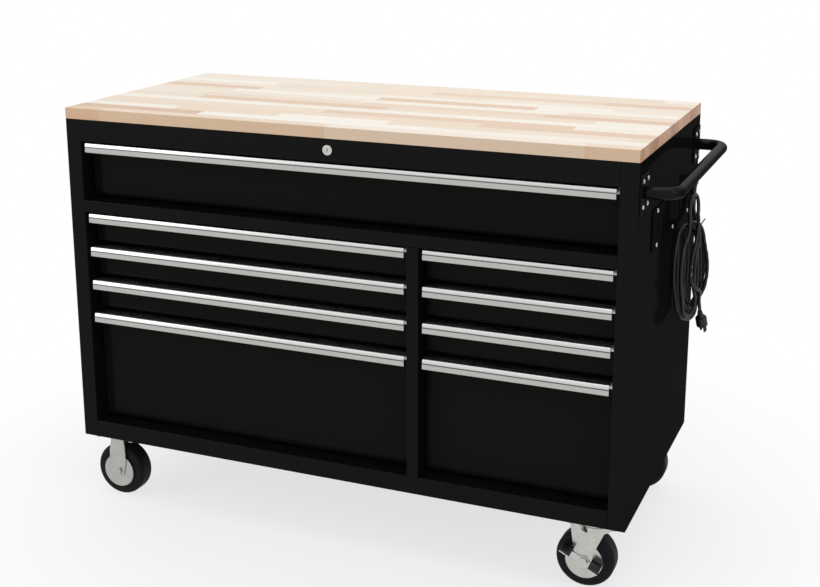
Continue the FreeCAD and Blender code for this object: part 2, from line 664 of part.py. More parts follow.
section = circles(handle, "YZ", [("-handle_half_span", "0")], "handle_tube / 2")
tube = handle.newObject("PartDesign::AdditivePipe", "Tube")
tube.Profile = section
tube.Spine = path
for end in (-1, 1):
    middle = "%d * handle_half_span" % end
    plate = corners_of("%s - mount_width / 2" % middle, "-mount_height / 2", "mount_width", "mount_height")
    pad(handle, outline(handle, "YZ", plate), "mount_sheet")
centres = [("%s" % along, "%s - cab_height + handle_drop" % up) for along, up in handle_screws]
pocket(handle, circles(handle, "YZ", centres, "screw_radius + screw_clearance"),
       "4 * mount_sheet", midplane=True)
place(handle, "half_width", "0", "handle_height")
subparts.append(handle)

# Side screws: four at each end of the handle and six around the power strip
screws = new_body("side_screws")
for centres, seat in ((handle_screws, "mount_sheet"), (strip_screws, "strip_sheet")):
    head = pad(screws, circles(screws, "YZ", centres, "screw_head_radius", seat), "screw_head_height")
    fillet(screws, head, lambda middle: near(middle.x, sheet.screw_head_height + getattr(sheet, seat)),
           "screw_head_height * 0.6")
    pad(screws, circles(screws, "YZ", centres, "screw_radius", seat), "screw_length", backwards=True)
place(screws, "half_width", "0", "caster_height")
subparts.append(screws)

# Power strip: a face plate over a housing that reaches into the cabinet, with six outlets
strip = new_body("strip_housing")
pad(strip, outline(strip, "YZ", corners_of("-strip_length / 2", "-strip_height / 2",
                                           "strip_length", "strip_height")), "strip_sheet")
box = corners_of("-strip_box_length / 2", "-strip_box_height / 2", "strip_box_length", "strip_box_height")
pad(strip, outline(strip, "YZ", box), "strip_box_depth", backwards=True)
inner = corners_of("sheet - strip_box_length / 2", "sheet - strip_box_height / 2",
                   "strip_box_length - 2 * sheet", "strip_box_height - 2 * sheet")
pocket(strip, outline(strip, "YZ", inner), "strip_box_depth - sheet")
centres = [("%s - strip_shift" % along, "%s - cab_height + strip_drop" % up) for along, up in strip_screws]
pocket(strip, circles(strip, "YZ", centres, "screw_radius + screw_clearance"), "4 * strip_sheet",
       midplane=True)
OUTLETS = 6
# Slots of an outlet: sideways, up, width, height
OUTLET_SLOTS = [(-6.35, 3, 2.2, 8.2), (6.35, 3, 2.2, 6.6), (0, -8, 5, 5)]
outlet_middles = ["outlet_pitch * %s" % (number - (OUTLETS - 1) / 2) for number in range(OUTLETS)]
outlets = []
for middle in outlet_middles:
    window = corners_of("%s - outlet_size / 2" % middle, "-outlet_size / 2", "outlet_size", "outlet_size")
    pocket(strip, outline(strip, "YZ", window), "4 * strip_sheet", midplane=True)
    insert = new_body("outlet")
    face = pad(insert, outline(insert, "YZ", window, "1 - strip_box_depth / 2"),
               "strip_box_depth / 2 + strip_sheet")
    for shift, rise, slot_width, slot_height in OUTLET_SLOTS:
        slot = corners_of("%s + %s - %s / 2" % (middle, shift, slot_width),
                          "%s - %s / 2" % (rise, slot_height), str(slot_width), str(slot_height))
        pocket(insert, outline(insert, "YZ", slot, "strip_sheet"), "outlet_slot_depth")
    outlets.append(insert)
power_strip = group("power_strip", [strip] + outlets)
place(power_strip, "half_width", "strip_shift", "strip_middle")
subparts.append(power_strip)

# Strain relief: a block on the face plate's rear end, with a tapered boot that points down
relief = new_body("strain_relief")
block(relief, "0", "-relief_width / 2", "-relief_height / 2", "relief_depth", "relief_width", "relief_height")
boot = relief.newObject("PartDesign::AdditiveCone", "Boot")
bind(boot, "Radius1", "cord_diameter / 2 + 1.2")
bind(boot, "Radius2", "relief_width / 2 - 2")
bind(boot, "Height", "boot_length")
bind(boot, "Placement.Base.x", "relief_depth / 2 + 0.5")
bind(boot, "Placement.Base.z", "-relief_height / 2 - boot_length")
place(relief, "half_width + strip_sheet", "strip_shift + strip_length / 2 - relief_from_end",
      "strip_middle + strip_height / 2 - relief_from_top")
subparts.append(relief)

# Lock in the top rail: a rimmed barrel, and a turning plug with a key slot and a cam
barrel = new_body("lock_barrel")
rim = pad(barrel, circles(barrel, "XZ", [("0", "0")], "lock_bezel_radius"), "lock_bezel_height")
fillet(barrel, rim, lambda middle: near(middle.y, -sheet.lock_bezel_height), "lock_bezel_height / 3")
pad(barrel, circles(barrel, "XZ", [("0", "0")], "lock_barrel_radius"), "lock_barrel_length", backwards=True)
pocket(barrel, circles(barrel, "XZ", [("0", "0")], "lock_plug_radius + running_gap"),
       "3 * lock_barrel_length", midplane=True)
place(barrel, "0", "-half_depth", "lock_height")
subparts.append(barrel)

plug_core = new_body("lock_core")
core = pad(plug_core, circles(plug_core, "XZ", [("0", "0")], "lock_plug_radius", "lock_bezel_height - 0.6"),
           "lock_barrel_length + lock_bezel_height - 0.6", backwards=True)
key = corners_of("-key_slot_width / 2", "-key_slot_height / 2", "key_slot_width", "key_slot_height")
pocket(plug_core, outline(plug_core, "XZ", key, "lock_bezel_height + 1"), "12")
cam = new_body("lock_cam")
pad(cam, outline(cam, "XZ", corners_of("-cam_width / 2", "-cam_width / 2", "cam_length + cam_width / 2",
                                       "cam_width"), "-lock_barrel_length"), "cam_sheet", backwards=True)
lock_plug = group("lock_plug", [plug_core, cam])
place(lock_plug, "0", "-half_depth", "lock_height")
subparts.append(lock_plug)


# Casters. Each is drawn from the floor under the middle of its mounting plate.
def mounting_plate(body):
    block(body, "-plate_length / 2", "-plate_width / 2", "plate_low",
          "plate_length", "plate_width", "plate_sheet")
    spots = [("%d * plate_bolt_along / 2" % along, "%d * plate_bolt_across / 2" % across)
             for along in (-1, 1) for across in (-1, 1)]
    holes = circles(body, "XY", spots, "bolt_radius + bolt_clearance", "caster_height")
    pocket(body, holes, "2 * plate_sheet")


def fork_legs(body, leg, axle_x):
    """Two legs with round ends at the axle, and the axle's holes through both."""
    centre = [(axle_x, "wheel_radius")]
    for lift, backwards in (("fork_half", False), ("-fork_half", True)):
        pad(body, outline(body, "XZ", leg, lift), "fork_sheet", backwards=backwards)
        pad(body, circles(body, "XZ", centre, "leg_eye", lift), "fork_sheet", backwards=backwards)
    pocket(body, circles(body, "XZ", centre, "axle_radius + running_gap"), "4 * fork_outside", midplane=True)


def axle_set(axle_x, front_room):
    """The axle bolt with its head and nut, and the two thread guards beside the wheel."""
    axle = new_body("axle")
    centre = [(axle_x, "wheel_radius")]
    pad(axle, circles(axle, "XZ", centre, "axle_radius", "fork_outside + %s" % front_room),
        "2 * fork_outside + %s" % front_room, backwards=True)
    for lift, backwards in (("fork_outside + %s" % front_room, False), ("-(fork_outside)", True)):
        hexagon = [("%s + axle_head_radius * %.6f" % (axle_x, math.cos(math.pi * corner / 3)),
                    "wheel_radius + axle_head_radius * %.6f" % math.sin(math.pi * corner / 3))
                   for corner in range(6)]
        pad(axle, outline(axle, "XZ", hexagon, lift), "bolt_head_height", backwards=backwards)
    guards = new_body("guards")
    for lift, backwards in (("fork_half", True), ("-(fork_half)", False)):
        pad(guards, circles(guards, "XZ", centre, "guard_radius", lift), "guard_sheet", backwards=backwards)
    pocket(guards, circles(guards, "XZ", centre, "axle_radius + running_gap"), "4 * fork_outside",
           midplane=True)
    return [axle, guards]


def wheel(label, x, y):
    """A tyre around a core with a long hub, turned about the axle."""
    tyre = new_body("tyre")
    ring = pad(tyre, circles(tyre, "XZ", [("0", "0")], "wheel_radius"), "tyre_width", midplane=True)
    fillet(tyre, ring, lambda middle: near(abs(middle.y), sheet.tyre_width / 2), "tyre_round")
    pocket(tyre, circles(tyre, "XZ", [("0", "0")], "core_radius"), "2 * tyre_width", midplane=True)
    core = new_body("core")
    pad(core, circles(core, "XZ", [("0", "0")], "core_radius"), "core_width", midplane=True)
    pad(core, circles(core, "XZ", [("0", "0")], "hub_radius"), "hub_width", midplane=True)
    pocket(core, circles(core, "XZ", [("0", "0")], "axle_radius + running_gap"), "2 * hub_width",
           midplane=True)
    made = group(label, [tyre, core])
    place(made, x, y, "wheel_radius")
    subparts.append(made)


def brake_pedal(label, x, y):
    """A lever that rocks on the axle bolt, with a padded tab at each end. It is drawn level."""
    lever = new_body("lever")
    lift = "fork_outside + brake_gap"
    pad(lever, circles(lever, "XZ", [("0", "0")], "brake_boss_radius", lift), "brake_sheet")
    arm = corners_of("-brake_reach", "-brake_arm / 2", "brake_reach + release_reach", "brake_arm")
    pad(lever, outline(lever, "XZ", arm, lift), "brake_sheet")
    pieces = [lever]
    for start in ("-brake_reach", "release_reach - brake_tab"):
        tab = corners_of(start, "brake_arm / 2 - brake_sheet", "brake_tab", "brake_sheet")
        pad(lever, outline(lever, "XZ", tab, lift), "brake_tab_width")
        rubber = new_body("rubber")
        top = pad(rubber, outline(rubber, "XZ", corners_of(start, "brake_arm / 2", "brake_tab", "brake_pad"),
                                  lift), "brake_tab_width")
        upper = (sheet.brake_arm / 2 + sheet.brake_pad)
        fillet(rubber, top, lambda middle: near(middle.z, upper), "brake_pad_round")
        pieces.append(rubber)
    pocket(lever, circles(lever, "XZ", [("0", "0")], "axle_radius + running_gap"), "4 * fork_outside",
           midplane=True)
    made = group(label, pieces)
    made.Placement = FreeCAD.Placement(Vector(0, 0, 0), FreeCAD.Rotation(Vector(0, 1, 0), 1))
    bind(made, "Placement.Rotation.Angle", "brake_slope * 1 deg")
    place(made, x, y, "wheel_radius")
    subparts.append(made)


rigid_leg = [("-leg_eye", "wheel_radius"), ("leg_eye", "wheel_radius"),
             ("leg_waist / 2", "wheel_radius + leg_low"), ("leg_waist / 2", "wheel_radius + leg_high"),
             ("leg_top / 2", "plate_low"), ("-leg_top / 2", "plate_low"),
             ("-leg_waist / 2", "wheel_radius + leg_high"), ("-leg_waist / 2", "wheel_radius + leg_low")]
swivel_leg = [("-trail - leg_eye", "wheel_radius"), ("leg_eye - trail", "wheel_radius"),
              ("leg_waist / 2 - trail", "wheel_radius + leg_low"),
              ("swivel_leg_top / 2 - trail / 2", "crown_top"),
              ("-swivel_leg_top / 2 - trail / 2", "crown_top"),
              ("-trail - leg_waist / 2", "wheel_radius + leg_low")]


def crown_bowl(body):
    """The swivel fork's round crown, hollow below."""
    bowl = body.newObject("PartDesign::AdditiveCone", "Bowl")
    bind(bowl, "Radius1", "bowl_radius - bowl_taper")
    bind(bowl, "Radius2", "bowl_radius")
    bind(bowl, "Height", "bowl_height")
    bind(bowl, "Placement.Base.z", "crown_top - bowl_height")
    hollow = body.newObject("PartDesign::SubtractiveCone", "Hollow")
    bind(hollow, "Radius1", "bowl_radius - bowl_taper - fork_sheet")
    bind(hollow, "Radius2", "bowl_radius - fork_sheet")
    bind(hollow, "Height", "bowl_height")
    bind(hollow, "Placement.Base.z", "crown_low - bowl_height")


for end, edge in (("front", "-caster_y"), ("rear", "caster_y")):
    rigid_fork = new_body("fork")
    mounting_plate(rigid_fork)
    block(rigid_fork, "-leg_top / 2", "-(fork_outside)", "plate_low - fork_sheet",
          "leg_top", "2 * (fork_outside)", "fork_sheet")
    fork_legs(rigid_fork, rigid_leg, "0")
    rigid = group("rigid_fork_" + end, [rigid_fork] + axle_set("0", "0"))
    place(rigid, "-(caster_x)", edge, "0")
    subparts.append(rigid)
    wheel("left_wheel_" + end, "-(caster_x)", edge)

    plate = new_body("swivel_plate_" + end)
    mounting_plate(plate)
    for radius, top, tall in (("race_radius", "plate_low", "race_height"),
                              ("king_radius", "race_low", "fork_sheet + 2 * swivel_gap"),
                              ("king_head_radius", "crown_low - swivel_gap", "king_head_height")):
        pad(plate, circles(plate, "XY", [("0", "0")], radius, top), tall, backwards=True)
    place(plate, "caster_x", edge, "0")
    subparts.append(plate)

    swivel_fork = new_body("fork")
    crown_bowl(swivel_fork)
    block(swivel_fork, "-swivel_leg_top / 2 - trail / 2", "-(fork_outside)", "crown_low",
          "swivel_leg_top", "2 * (fork_outside)", "fork_sheet")
    fork_legs(swivel_fork, swivel_leg, "-trail")
    pocket(swivel_fork, circles(swivel_fork, "XY", [("0", "0")], "king_radius + running_gap",
                                "crown_top + 1"), "fork_sheet + 2")
    swivel = group("swivel_fork_" + end,
                   [swivel_fork] + axle_set("-trail", "(brake_sheet + 2 * brake_gap)"))
    place(swivel, "caster_x", edge, "0")
    subparts.append(swivel)
    wheel("right_wheel_" + end, "caster_x - trail", edge)
    brake_pedal("brake_pedal_" + end, "caster_x - trail", edge)

# Caster bolts: head below the plate, shank up through plate and base channel
bolts = new_body("caster_bolts")
for x, y in bolt_places:
    hexagon = [("%s + bolt_head_radius * %.6f" % (x, math.cos(math.pi * corner / 3) / math.cos(math.pi / 6)),
                "%s + bolt_head_radius * %.6f" % (y, math.sin(math.pi * corner / 3) / math.cos(math.pi / 6)))
               for corner in range(6)]
    pad(bolts, outline(bolts, "XY", hexagon, "plate_low"), "bolt_head_height", backwards=True)
pad(bolts, circles(bolts, "XY", bolt_places, "bolt_radius", "plate_low"),
    "plate_sheet + channel_sheet + bolt_head_height")
place(bolts, "0", "0", "0")
subparts.append(bolts)


# Power cord. Its points are places in the bench's own frame.
def bent_path(points):
    """Straight runs joined by tangent arcs, and the arcs' radii."""
    edges, radii = [], []
    start = points[0]
    for before, corner, after in zip(points, points[1:], points[2:]):
        arriving = (corner - before).normalize()
        leaving = (after - corner).normalize()
        half_turn = arriving.getAngle(leaving) / 2
        shorter = min(corner.distanceToPoint(before), corner.distanceToPoint(after))
        setback = 0.45 * shorter
        radius = setback / math.tan(half_turn)
        first = corner - arriving * setback
        last = corner + leaving * setback
        inward = (leaving - arriving).normalize()
        centre_gap = radius / math.cos(half_turn)
        middle = corner + inward * (centre_gap - radius)
        edges += [Part.LineSegment(start, first).toShape(), Part.Arc(first, middle, last).toShape()]
        radii.append(radius)
        start = last
    edges.append(Part.LineSegment(start, points[-1]).toShape())
    return Part.Wire(edges), radii


def cord_tube(points):
    """A round tube along the path; its volume is compared with section times length."""
    path, radii = bent_path(points)
    radius = sheet.cord_diameter / 2
    heading = points[1] - points[0]
    ring = Part.Wire([Part.Circle(points[0], heading, radius).toShape()])
    solid = path.makePipeShell([ring], True, True)
    expected = math.pi * radius ** 2 * path.Length
    print("cord stretch %.0f mm, radii %s, volume / expected %.4f" % (
        path.Length, [round(value) for value in radii], solid.Volume / expected))
    return solid


HANK_TURN = 73
# Ovals up the hank: height, half width, half thickness, and the middle's x and y
HANK = [(466, 26, 9, 657, 136), (478, 54, 15, 655, 135), (500, 68, 17, 653, 135), (540, 76, 17, 652, 131),
        (585, 88, 17, 654, 123), (620, 92, 17, 655, 120), (655, 76, 17, 653, 125), (682, 62, 16, 652, 134),
        (703, 50, 14, 652, 141), (722, 38, 12, 654, 133), (745, 31, 11, 656, 125), (768, 26, 10, 656, 125),
        (784, 11, 6, 656, 125)]


def hank_oval(height, along, across, middle_x, middle_y):
    """One oval of the hank, whose width is turned a little from the side panel's."""
    oval = Part.Ellipse(Vector(0, 0, 0), along, across).toShape()
    oval.rotate(Vector(0, 0, 0), Vector(0, 0, 1), HANK_TURN)
    oval.translate(Vector(middle_x, middle_y, height))
    return Part.Wire([oval])


relief_top = sheet.caster_height + sheet.cab_height - sheet.strip_drop + sheet.strip_height / 2
relief_exit = Vector(
    sheet.cab_width / 2 + sheet.strip_sheet + sheet.relief_depth / 2 + 0.5 - sheet.handle_reach / 2,
    sheet.strip_shift + sheet.strip_length / 2 - sheet.relief_from_end + sheet.lock_bezel_height / 2,
    relief_top - sheet.relief_from_top - sheet.relief_height / 2 - sheet.boot_length)
print("cord leaves the boot at", relief_exit)
lead = [relief_exit, Vector(634.4, 204.5, 741), Vector(637, 204, 721), Vector(642, 198, 702),
        Vector(647, 187, 686), Vector(651, 172, 674)]
cord = doc.addObject("Part::Feature", "Cord")
cord.Label = "cord"
cord.Shape = cord_tube(lead)
hank = doc.addObject("Part::Feature", "Hank")
hank.Label = "cord_hank"
hank.Shape = Part.makeLoft([hank_oval(*oval) for oval in HANK], True, False)
subparts += [cord, hank]

# The cord's plug, drawn along Z from the end of the cord: sleeve, grip, two blades and an earth pin
plug = new_body("plug")
sleeve = plug.newObject("PartDesign::AdditiveCone", "Sleeve")
bind(sleeve, "Radius1", "cord_diameter / 2 + 1")
bind(sleeve, "Radius2", "plug_grip_radius * 0.65")
bind(sleeve, "Height", "plug_sleeve")
grip = pad(plug, circles(plug, "XY", [("0", "0")], "plug_grip_radius", "plug_sleeve - 1"), "plug_grip")
doc.recompute()
grip_ends = (sheet.plug_sleeve - 1, sheet.plug_sleeve - 1 + sheet.plug_grip)
fillet(plug, grip, lambda middle: near(middle.x, 0) and near(middle.y, 0)
       and (near(middle.z, grip_ends[0]) or near(middle.z, grip_ends[1])), "plug_round")
for side in (-1, 1):
    block(plug, "%d * blade_pitch / 2 - blade_sheet / 2" % side, "-blade_width / 2",
          "plug_sleeve + plug_grip - 2", "blade_sheet", "blade_width", "blade_length")
pad(plug, circles(plug, "XY", [("0", "-earth_offset")], "earth_radius", "plug_sleeve + plug_grip - 2"),
    "earth_length")
plug.Placement = FreeCAD.Placement(Vector(668, 176, 492),
                                   FreeCAD.Rotation(Vector(0, 0, 1), Vector(0.12, 0.34, -0.93)))
subparts.append(plug)

# Check every object, then write each sub-part
doc.recompute()
for item in doc.Objects:
    if "Invalid" in item.State or "Error" in item.State:
        raise RuntimeError("%s (%s) failed: %s" % (item.Name, item.Label, item.State))
for label, cut in pockets:
    if not cut.Shape.Volume < cut.BaseFeature.Shape.Volume - 0.01:
        raise RuntimeError("a pocket cuts nothing in " + label)
for piece in subparts:
    if piece.Shape.isNull() or not piece.Shape.isValid() or not piece.Shape.Solids:
        raise RuntimeError("no valid shape in " + piece.Label)
for piece in subparts:
    piece.Shape.exportStep("parts/%s.step" % piece.Label)
print(len(subparts), "sub-parts,", sum(len(piece.Shape.Solids) for piece in subparts), "solids")
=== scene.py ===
import math
import bmesh
import bpy
import numpy as np
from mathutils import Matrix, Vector


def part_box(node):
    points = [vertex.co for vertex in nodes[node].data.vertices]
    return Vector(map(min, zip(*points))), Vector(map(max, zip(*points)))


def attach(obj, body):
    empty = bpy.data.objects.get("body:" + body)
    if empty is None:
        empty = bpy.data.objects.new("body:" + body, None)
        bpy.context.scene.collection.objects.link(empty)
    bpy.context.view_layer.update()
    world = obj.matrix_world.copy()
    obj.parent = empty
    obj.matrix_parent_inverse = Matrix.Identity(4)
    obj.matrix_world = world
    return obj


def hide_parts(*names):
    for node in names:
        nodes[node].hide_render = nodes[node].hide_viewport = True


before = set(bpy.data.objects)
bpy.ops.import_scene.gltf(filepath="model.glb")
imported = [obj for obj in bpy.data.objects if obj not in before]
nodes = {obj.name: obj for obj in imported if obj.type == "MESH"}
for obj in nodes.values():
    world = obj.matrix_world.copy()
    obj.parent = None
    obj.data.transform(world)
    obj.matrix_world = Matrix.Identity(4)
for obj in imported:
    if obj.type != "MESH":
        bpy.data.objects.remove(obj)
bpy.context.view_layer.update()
print("frame loaded:", len(nodes), "nodes")


def colour(text):  # sRGB hex to a linear colour with alpha
    parts = [int(text[i:i + 2], 16) / 255 for i in (0, 2, 4)]
    linear = [part / 12.92 if part <= 0.04045 else ((part + 0.055) / 1.055) ** 2.4 for part in parts]
    return (*linear, 1.0)


def perMetre(millimetres):
    return 1000 / millimetres  # texture scale for features of that size


def addNode(tree, kind, settings=None, sockets=None):
    node = tree.nodes.new(kind)
    for key, value in (settings or {}).items():
        setattr(node, key, value)
    for key, value in (sockets or {}).items():
        if isinstance(value, bpy.types.NodeSocket):
            tree.links.new(value, node.inputs[key])
        else:
            node.inputs[key].default_value = value
    return node


def newMaterial(name, settings):
    material = bpy.data.materials.new(name)
    material.use_nodes = True
    tree = material.node_tree
    shader = tree.nodes["Principled BSDF"]
    for key, value in settings.items():
        shader.inputs[key].default_value = value
    return material, tree, shader


def place(tree, stretch=(1, 1, 1)):  # object coordinates in metres, stretched
    where = addNode(tree, "ShaderNodeTexCoord")
    return addNode(tree, "ShaderNodeMapping", {}, {"Vector": where.outputs["Object"], "Scale": stretch})


def noise(tree, where, size, detail=3.0, roughness=0.55):
    return addNode(tree, "ShaderNodeTexNoise", {}, {
        "Vector": where.outputs[0], "Scale": perMetre(size), "Detail": detail, "Roughness": roughness})


def remap(tree, value, low, high):
    return addNode(tree, "ShaderNodeMapRange", {}, {
        "Value": value, "From Min": 0.3, "From Max": 0.7, "To Min": low, "To Max": high})


def calc(tree, operation, first, second=0.0, third=0.0):
    node = addNode(tree, "ShaderNodeMath", {"operation": operation}, {0: first, 1: second, 2: third})
    return node.outputs[0]


def ramp(tree, value, stops):
    node = addNode(tree, "ShaderNodeValToRGB", {}, {"Fac": value})
    elements = node.color_ramp.elements
    while len(elements) < len(stops):
        elements.new(0.5)
    for element, (position, text) in zip(elements, stops):
        element.position = position
        element.color = colour(text)
    return node.outputs["Color"]


def bump(tree, shader, height, strength, distance):
    node = addNode(tree, "ShaderNodeBump", {}, {"Height": height, "Strength": strength, "Distance": distance})
    tree.links.new(node.outputs["Normal"], shader.inputs["Normal"])


# Camera
view = {"location": (1.1553, -2.7486, 1.4356), "pitch": 0.2405, "yaw": 0.3915, "lens": 57.93, "shift": -0.1}
cameraData = bpy.data.cameras.new("Camera")
camera = bpy.data.objects.new("Camera", cameraData)
bpy.context.scene.collection.objects.link(camera)
camera.location = view["location"]
camera.rotation_euler = (math.pi / 2 - view["pitch"], 0, view["yaw"])
cameraData.lens = view["lens"]
cameraData.sensor_width = 36
cameraData.shift_y = view["shift"]
cameraData.clip_end = 60
bpy.context.scene.camera = camera
print("camera set")

# Power cord: from the strain relief into a hank of five turns, tied over its top, with one tall loop above
hank = {
    "diameter": 0.008, "turn": math.radians(73), "tilt": 0.24,
    # middle line of the hank: height, x, y
    "middle": [(0.466, 0.657, 0.136), (0.5, 0.653, 0.135), (0.54, 0.652, 0.131), (0.585, 0.654, 0.123),
               (0.62, 0.655, 0.12), (0.655, 0.653, 0.125), (0.682, 0.651, 0.136), (0.703, 0.651, 0.145),
               (0.784, 0.651, 0.151)],
    "lead": [(0.6344, 0.2045, 0.7572), (0.6344, 0.2045, 0.741), (0.637, 0.204, 0.722), (0.643, 0.2015, 0.703),
             (0.6515, 0.197, 0.684), (0.659, 0.1915, 0.662)],
    # each turn: reach of its belly and of its foot, layer across the hank, bottom, radius of its lower bends
    "turns": [((-0.0535, 0.077), (-0.045, 0.026), 0.0090, 0.494, 0.034),
              ((-0.006, 0.0607), (-0.010, 0.052), 0.0092, 0.520, 0.030),
              ((-0.086, 0.0765), (-0.066, 0.028), 0.0, 0.484, 0.040),
              ((-0.038, 0.0265), (-0.036, 0.024), -0.0002, 0.510, 0.029),
              ((-0.070, -0.007), (-0.056, 0.000), -0.0095, 0.494, 0.028)],
    # the strands over the top, from one turn to the next: left end, right end, height, place across
    "tops": [(-0.056, 0.050, 0.6975, 0.0095), (-0.012, 0.050, 0.7065, 0.0045),
             (-0.070, 0.014, 0.6985, -0.0005), (-0.044, 0.014, 0.7065, -0.0050)],
    "topBend": 0.029, "first": 0.062, "final": -0.052,
    # height and share of the way to the belly's reach, from the top's for the upper ones and then the foot's
    "flank": [(0.655, 0.5), (0.633, 0.88), (0.607, 1.0), (0.580, 0.97)], "upper": 2,
    # the tall loop, then the last run down the front: height, along, across
    "tall": [(0.695, -0.055, -0.0165), (0.718, -0.059, -0.018), (0.742, -0.060, -0.018),
             (0.7638, -0.060, -0.017), (0.779, -0.0448, -0.015), (0.779, -0.0232, -0.011),
             (0.7638, -0.008, -0.009), (0.742, -0.008, -0.0095), (0.718, -0.010, -0.0145),
             (0.698, -0.014, -0.0175), (0.675, -0.018, -0.0175), (0.645, -0.024, -0.013),
             (0.61, -0.028, -0.0105), (0.582, -0.026, -0.0115), (0.562, -0.008, -0.0165),
             (0.550, 0.014, -0.0185)],
    # into the plug, where the source has it
    "tail": [(0.6648, 0.1655, 0.529), (0.6668, 0.172, 0.5085), (0.6684, 0.177, 0.489)],
}
corner = 1 - math.tan(math.radians(22.5))  # from a square corner to where its rounding starts


def hankMiddle(height):
    rows = hank["middle"]
    for (low, x1, y1), (high, x2, y2) in zip(rows, rows[1:]):
        if height <= high:
            part = max(0.0, (height - low) / (high - low))
            return x1 + (x2 - x1) * part, y1 + (y2 - y1) * part
    return rows[-1][1:]


def hankPoint(height, along, across, tilt=0.0):
    x, y = hankMiddle(height)
    turn = hank["turn"]
    return (x + along * math.cos(turn) - across * math.sin(turn),
            y + along * math.sin(turn) + across * math.cos(turn), height - tilt * along)


def hankTurn(index):
    # right flank down, round the bottom and up the left flank
    belly, foot, layer, bottom, bend = hank["turns"][index]
    right = hank["tops"][index - 1][1] if index else hank["first"]
    left = hank["tops"][index][0] if index < len(hank["tops"]) else hank["final"]
    sides = []
    for top, reach, low, inward in ((right, belly[1], foot[1], -1), (left, belly[0], foot[0], 1)):
        side = []
        for number, (height, share) in enumerate(hank["flank"]):
            start = top if number < hank["upper"] else low
            side.append((height, start + (reach - start) * share))
        sides.append(side + [(bottom + bend * corner, low), (bottom, low + inward * bend * corner)])
    if index == 0:
        sides[0].pop(0)  # the lead ends there
    rows = sides[0] + sides[1][::-1]
    return [hankPoint(height, along, layer, hank["tilt"]) for height, along in rows]


def hankTop(index):
    left, right, height, across = hank["tops"][index]
    before, after = hank["turns"][index][2], hank["turns"][index + 1][2]
    cut = hank["topBend"] * corner
    rows = [(height - cut, left, (across + before) / 2), (height, left + cut, across),
            (height, right - cut, across), (height - cut, right, (across + after) / 2)]
    return [hankPoint(*row, hank["tilt"]) for row in rows]


route = list(hank["lead"])
for index in range(len(hank["turns"])):
    route += hankTurn(index)
    route += hankTop(index) if index < len(hank["tops"]) else []
route += [hankPoint(*row) for row in hank["tall"]]
route += hank["tail"]

# the cord settles: folds no tighter than the least bend, strands a diameter apart and clear of the side
settle = {"step": 0.01, "rounds": 2500, "leastBend": 0.036, "apart": 0.0086, "hold": 0.003, "fixed": 4,
          "smoothings": 3, "straighten": 0.45, "part": 0.5, "mostMove": 0.002,
          # strands this close are kept apart, unless near along the cord, and are listed anew each few rounds
          "near": 0.014, "alongCord": 7, "listEach": 10,
          # least x of the centre line beside the panel, and above stripFoot beside the power strip
          "panel": 0.6268, "strip": 0.6293, "stripFoot": 0.712}


def evenly(path, count):
    gone = np.concatenate([[0.0], np.cumsum(np.linalg.norm(np.diff(path, axis=0), axis=1))])
    marks = np.linspace(0.0, gone[-1], count)
    return np.stack([np.interp(marks, gone, path[:, axis]) for axis in range(3)], axis=1)


def settled(points):
    path = np.array(points, dtype=float)
    step, fixed = settle["step"], settle["fixed"]
    count = int(np.linalg.norm(np.diff(path, axis=0), axis=1).sum() / step) + 1
    path = evenly(path, count)
    for smoothing in range(settle["smoothings"]):
        path[1:-1] = (path[:-2] + 2 * path[1:-1] + path[2:]) / 4
    wanted = path.copy()
    free = np.ones((count, 1))
    free[:fixed] = free[-fixed:] = 0
    most = step ** 2 / settle["leastBend"] / 2
    for turn in range(settle["rounds"]):
        move = settle["hold"] * (wanted - path)
        bend = (path[:-2] + path[2:]) / 2 - path[1:-1]
        size = np.maximum(np.linalg.norm(bend, axis=1, keepdims=True), 1e-9)
        push = bend * settle["straighten"] * np.clip(1 - most / size, 0, 1)
        move[1:-1] += push
        move[:-2] -= push / 2
        move[2:] -= push / 2
        if turn % settle["listEach"] == 0:
            far = np.linalg.norm(path[:, None] - path[None], axis=2)
            one, two = np.nonzero(np.triu(far < settle["near"], settle["alongCord"]))
        gap = path[one] - path[two]
        distance = np.maximum(np.linalg.norm(gap, axis=1, keepdims=True), 1e-6)
        part = gap / distance * np.clip(settle["apart"] - distance, 0, None) * settle["part"]
        np.add.at(move, one, part)
        np.add.at(move, two, -part)
        path = path + np.clip(move, -settle["mostMove"], settle["mostMove"]) * free
        link = path[1:] - path[:-1]
        fix = link * (1 - step / np.linalg.norm(link, axis=1, keepdims=True)) / 2
        path[:-1] += fix * free[:-1]
        path[1:] -= fix * free[1:]
        wall = np.where(path[:, 2] > settle["stripFoot"], settle["strip"], settle["panel"])
        path[fixed:-fixed, 0] = np.maximum(path[fixed:-fixed, 0], wall[fixed:-fixed])
    return [tuple(point) for point in path.tolist()]


route = settled(route)
print("cord settled,", len(route), "points")


def roundCurve(name, points, diameter):
    data = bpy.data.curves.new(name, "CURVE")
    data.dimensions = "3D"
    spline = data.splines.new("NURBS")
    spline.points.add(len(points) - 1)
    for target, point in zip(spline.points, points):
        target.co = (*point, 1.0)
        target.radius = diameter / 2
    spline.order_u = 3
    spline.use_endpoint_u = True
    spline.resolution_u = 4
    data.bevel_depth = 1.0  # times each point's radius
    data.bevel_resolution = 4
    data.use_fill_caps = True
    piece = bpy.data.objects.new(name, data)
    bpy.context.scene.collection.objects.link(piece)
    return piece


def curveLength(piece):  # along its centre line
    bare = piece.copy()
    bare.data = piece.data.copy()
    bare.data.bevel_depth = 0
    mesh = bpy.data.meshes.new_from_object(bare)
    ends = [[mesh.vertices[index].co for index in edge.vertices] for edge in mesh.edges]
    length = sum((first - second).length for first, second in ends)
    bpy.data.meshes.remove(mesh)
    bpy.data.objects.remove(bare)
    return length


cordPiece = roundCurve("powerCord", route, hank["diameter"])
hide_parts("cord", "cord_hank")
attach(cordPiece, "bench")
cordLength = curveLength(cordPiece)
print("cord length %.3f m" % cordLength)


